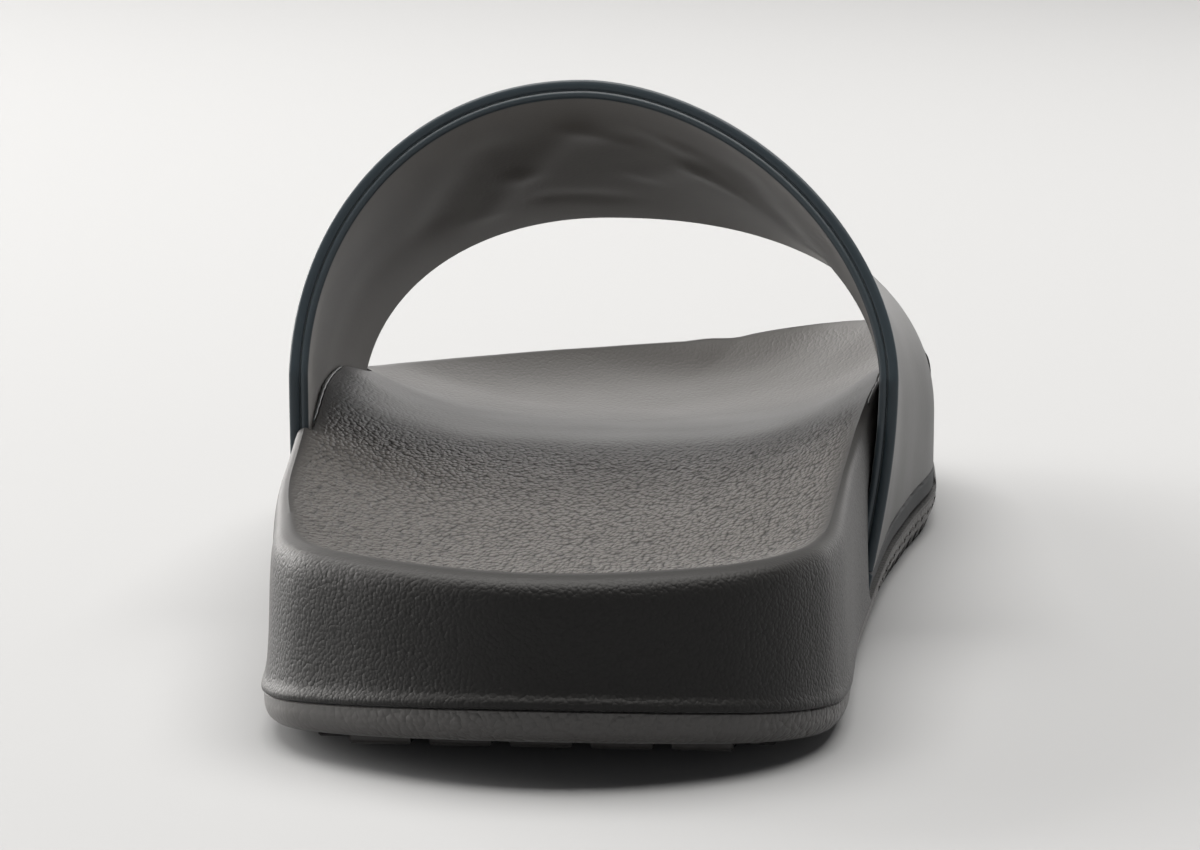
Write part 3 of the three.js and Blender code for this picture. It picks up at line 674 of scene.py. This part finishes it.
def strap_layer(name, top, bottom, relief_top=None, relief_bottom=None, corner=0.45, let_in=0.0):
    """A closed band between two depths under the strap's outer face, with rounded edges."""
    point, normal, side, q, v = strap_grid(turns, let_in + (1 - 2 * let_in) * across)
    span = np.linalg.norm(strap_point(side, q, 0 * v + 1) - strap_point(side, q, 0 * v), axis=-1)
    from_edge = (np.minimum(v, 1 - v) - let_in) * span
    fall = corner - np.sqrt(np.maximum(0, corner ** 2 - np.maximum(0, corner - from_edge) ** 2))
    upper = point - normal * (top + fall)[..., None]
    lower = point - normal * (bottom - fall)[..., None]
    if relief_top is not None:
        upper = upper + normal * relief_top(side, q, v)[..., None]
    if relief_bottom is not None:
        lower = lower - normal * relief_bottom(side, q, v)[..., None]
    rows = np.concatenate([upper, lower[:, ::-1]], axis=1)
    count = rows.shape[1]
    faces = ring_faces(rows.shape[0], count)
    half = count // 2
    last = (rows.shape[0] - 1) * count
    for i in range(half - 1):
        faces.append((i, i + 1, count - 2 - i, count - 1 - i))
        faces.append((last + count - 1 - i, last + count - 2 - i, last + i + 1, last + i))
    on_face = ramp(from_edge, corner, FACE_EDGE)
    in_border = 1 - ramp(foot_distance(q, v), BORDER_HEIGHT + GROOVE, BORDER_EDGE)
    marks = {
        mark: np.concatenate([values, values[:, ::-1]], axis=1).ravel()
        for mark, values in (("face", on_face), ("border", in_border))
    }
    return mesh_piece(name, rows.reshape(-1, 3), faces, BAND_ANGLE, marks)


def foot_distance(q, v):
    """How far up from the strap's lower edge a point lies."""
    foot_z = seam_height(between(STRAP_FEET, v) / LENGTH) + LEDGE + FIT
    return q / LEG_SHARE * (between(SHOULDER_HEIGHT, v) - foot_z)


def border_relief(side, q, v):
    """The border along the two lower edges and the groove above it."""
    height = foot_distance(q, v)
    border = BORDER_RAISE * (1 - ramp(height, BORDER_HEIGHT - BORDER_EDGE / 2, BORDER_EDGE))
    middle = BORDER_HEIGHT + GROOVE / 2
    groove = GROOVE_DEPTH * (1 - ease(np.abs(height - middle) / (GROOVE / 2)))
    return border - groove


skin = strap_layer("strap_skin", 0.0, SKIN, border_relief)
FINE_DEPTH = 0.03 * MM
CUT_EDGE, BORDER_TONE = (0.032, 0.045, 0.054, 1), (0.004, 0.0065, 0.0085, 1)
coat = Finish("strap_skin")
place = coat.object_place()
fine, cloud = coat.noise(place, 1100.0, 3.0), coat.noise(place, 40.0, 3.0)
coat_face, coat_border = coat.mark("face"), coat.mark("border")
coat_tone = coat.blend(cloud, (0.018, 0.0175, 0.0165, 1), (0.025, 0.0245, 0.0225, 1))
coat_tone = coat.blend(coat_border, coat_tone, BORDER_TONE)
coat.give(skin, fine, FINE_DEPTH, {
    "Base Color": coat.blend(coat_face, CUT_EDGE, coat_tone),
    "Roughness": 0.36 + 0.12 * cloud + 0.25 * coat_border,
    "Specular IOR Level": 0.38,
})
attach(skin, "root")
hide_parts("strap")

# The lining is a second, softer sheet glued inside the skin; its edge is rolled, and pressing the band into
# its arch has left a few soft creases in it. The glue between the two is painted pale, as a painted
# highlight: a fine light line along the strap's edges. It also lies as a thin pale bead where it is pressed
# out along the footbed's edge.
BOND_ABOVE, BOND_BELOW, BOND_CORNER, BOND_LET_IN = 0.05, 0.09, 0.06, 0.0016
bond = strap_layer(
    "strap_bond_highlight", SKIN - BOND_ABOVE, SKIN + BOND_BELOW, corner=BOND_CORNER, let_in=BOND_LET_IN,
)
# The glue's pale tone is painted highlight: it shows as a thin light line between the skin and the lining at
# the strap's edges.
glue = Finish("strap_bond_highlight")
fine = glue.noise(glue.object_place(), 300.0, 3.0)
glue.give(bond, fine, FINE_DEPTH, {
    "Base Color": glue.blend(fine, (0.05, 0.06, 0.065, 1), (0.13, 0.15, 0.16, 1)),
    "Roughness": 0.3 + 0.2 * fine,
})

# Each bead: its side, how far from the heel it starts and ends, and its radius. It lies a little outside the
# footbed's edge, and swells and thins along its way.
BEADS = {"glue_bead_lateral": (-1, 104, 170, 0.34), "glue_bead_medial": (1, 112, 150, 0.3)}
BEAD_OUT, BEAD_DOWN, BEAD_SWELL, BEAD_WAVE, BEAD_SIDES, BEAD_ANGLE = 0.5, 0.05, 0.25, 0.9, 12, 1.5


def glue_bead(name, side, start, end, radius):
    """The glue pressed out of the joint between the lining and the footbed's edge, as one thin bead."""
    picked = (loop_side == side) & (LENGTH * loop_share > start) & (LENGTH * loop_share < end)
    path = wall_ring(1.0, 1.0, top)[picked]
    path = path[np.argsort(path[:, 1])] + (side * BEAD_OUT, 0, -BEAD_DOWN)
    sizes = radius * np.sqrt(np.sin(np.linspace(0, np.pi, len(path))))
    sizes = sizes * (1 + BEAD_SWELL * np.sin(path[:, 1] * BEAD_WAVE))
    turn = np.linspace(0, 2 * np.pi, BEAD_SIDES, endpoint=False)
    circle = np.stack([side * np.cos(turn), 0 * turn, np.sin(turn)], axis=1)
    rings = path[:, None, :] + sizes[:, None, None] * circle[None]
    return mesh_piece(name, rings.reshape(-1, 3), ring_faces(len(path), BEAD_SIDES), BEAD_ANGLE)


beads = [glue_bead(name, *bead) for name, bead in BEADS.items()]
for bead in beads:
    bead.data.materials.append(glue.material)
for piece in (bond, *beads):
    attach(piece, "root")
    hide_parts("strap")

# Each crease: where it starts and ends, in turns from the crown and shares across the strap, its half width
# and its height in millimetres, negative where it is a trough
CREASES = [
    (-0.022, 0.235, -0.112, 0.542, 5.5, 0.45), (-0.112, 0.542, -0.182, 0.782, 5.5, 0.35),
    (-0.022, 0.235, 0.038, 0.333, 4.0, 0.3), (0.038, 0.333, 0.1, 0.21, 5.0, -0.3),
    (0.1, 0.21, 0.145, 0.253, 4.0, 0.25), (0.073, 0.575, 0.153, 0.405, 5.0, 0.35),
    (0.153, 0.405, 0.2, 0.458, 4.5, 0.25), (-0.083, 0.765, -0.005, 0.8, 5.0, -0.25),
    (-0.16, 0.3, -0.26, 0.62, 9.0, -0.5), (0.24, 0.25, 0.34, 0.6, 9.0, -0.45),
]
# The lining's size that a full turn and a full share stand for, and how fast the creases fade at its edges
TURN_SPAN, ACROSS_SPAN, CREASE_FADE = 168.0, 95.0, 12


def creases(side, q, v):
    """How far the soft creases stand out of the lining, towards the foot."""
    turn = side * (1 - q)
    total = np.zeros_like(q)
    for t0, v0, t1, v1, width, height in CREASES:
        run_t, run_v = (t1 - t0) * TURN_SPAN, (v1 - v0) * ACROSS_SPAN
        off_t, off_v = (turn - t0) * TURN_SPAN, (v - v0) * ACROSS_SPAN
        along = np.clip((off_t * run_t + off_v * run_v) / (run_t ** 2 + run_v ** 2), 0, 1)
        gap = np.hypot(off_t - along * run_t, off_v - along * run_v)
        total = total + height * np.exp(-(gap / width) ** 2)
    return total * ease(v * CREASE_FADE) * ease((1 - v) * CREASE_FADE)


LINING_BELOW, LINING_CORNER = 0.06, 0.5
lining = strap_layer("strap_lining", SKIN + LINING_BELOW, STRAP_WALL, None, creases, LINING_CORNER)
satin = Finish("strap_lining")
place = satin.object_place()
fine, cloud = satin.noise(place, 1500.0, 3.0), satin.noise(place, 30.0, 4.0)
satin_tone = satin.blend(cloud, (0.115, 0.106, 0.096, 1), (0.16, 0.146, 0.132, 1))
satin.give(lining, fine, FINE_DEPTH, {
    "Base Color": satin.blend(satin.mark("face"), CUT_EDGE, satin_tone),
    "Roughness": 0.36 + 0.14 * cloud,
    "Sheen Weight": 0.15,
    "Sheen Roughness": 0.4,
})
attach(lining, "root")
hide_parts("strap")

# The studio: a plain pale floor, a long low panel beyond the toe, a large one overhead, and two on the left.
# The room's walls are pale up to a low height, so that they run on from the floor, and dark above.
floor_mesh = bpy.data.meshes.new("floor")
floor_mesh.from_pydata([(-6, -4, 0), (6, -4, 0), (6, 9, 0), (-6, 9, 0)], [], [(0, 1, 2, 3)])
floor = bpy.data.objects.new("floor", floor_mesh)
bpy.context.scene.collection.objects.link(floor)
paper = Finish("floor_paper")
shader = paper.node("ShaderNodeBsdfPrincipled", None, {
    "Base Color": (0.355, 0.359, 0.364, 1),
    "Roughness": 0.9,
    "Specular IOR Level": 0.1,
})
paper.node("ShaderNodeOutputMaterial", None, {"Surface": shader})
floor_mesh.materials.append(paper.material)

world = bpy.data.worlds.new("studio")
bpy.context.scene.world = world
world.use_nodes = True
room = world.node_tree
room.nodes["Background"].inputs["Color"].default_value = (0.9, 0.9, 0.92, 1)
direction = room.nodes.new("ShaderNodeTexCoord")
parts = room.nodes.new("ShaderNodeSeparateXYZ")
low_wall = room.nodes.new("ShaderNodeMapRange")
low_wall.interpolation_type = "SMOOTHSTEP"
for name, value in {"From Min": 0.12, "From Max": 0.35, "To Min": 0.75, "To Max": 0.04}.items():
    low_wall.inputs[name].default_value = value
room.links.new(direction.outputs["Generated"], parts.inputs["Vector"])
room.links.new(parts.outputs["Z"], low_wall.inputs["Value"])
room.links.new(low_wall.outputs["Result"], room.nodes["Background"].inputs["Strength"])


WARM = (1.0, 0.975, 0.945)


def softbox(name, place, aim, width, height, radiance):
    """A soft panel of that brightness, turned to the point that it lights."""
    lamp = bpy.data.lights.new(name, "AREA")
    lamp.shape = "RECTANGLE"
    lamp.size, lamp.size_y, lamp.energy = width, height, radiance * np.pi * width * height
    lamp.color = WARM
    holder = bpy.data.objects.new(name, lamp)
    holder.location = place
    holder.rotation_euler = (Vector(aim) - Vector(place)).to_track_quat("-Z", "Y").to_euler()
    bpy.context.scene.collection.objects.link(holder)


softbox("panel_beyond_toe", (0.0, 3.8, 0.8), (0, 0, 0.1), 9.0, 1.4, 1.6)
softbox("panel_overhead", (0.0, 0.3, 2.3), (0, 0, 0), 3.0, 2.2, 6.0)
softbox("panel_left_back", (-2.2, 1.6, 0.9), (0, 0, 0.1), 2.2, 1.6, 9.0)
softbox("panel_left", (-2.6, 0.3, 0.8), (0, 0, 0.1), 1.8, 1.4, 4.5)

CAMERA_PLACE, CAMERA_AIM, CAMERA_LENS = (0.05673, -0.66349, 0.13508), (0.002, -0.04, 0.0335), 122.0
camera_data = bpy.data.cameras.new("camera")
camera_data.lens = CAMERA_LENS
camera = bpy.data.objects.new("camera", camera_data)
camera.location = CAMERA_PLACE
camera.rotation_euler = (Vector(CAMERA_AIM) - camera.location).to_track_quat("-Z", "Y").to_euler()
bpy.context.scene.collection.objects.link(camera)
bpy.context.scene.camera = camera
bpy.context.scene.view_settings.view_transform = "Standard"
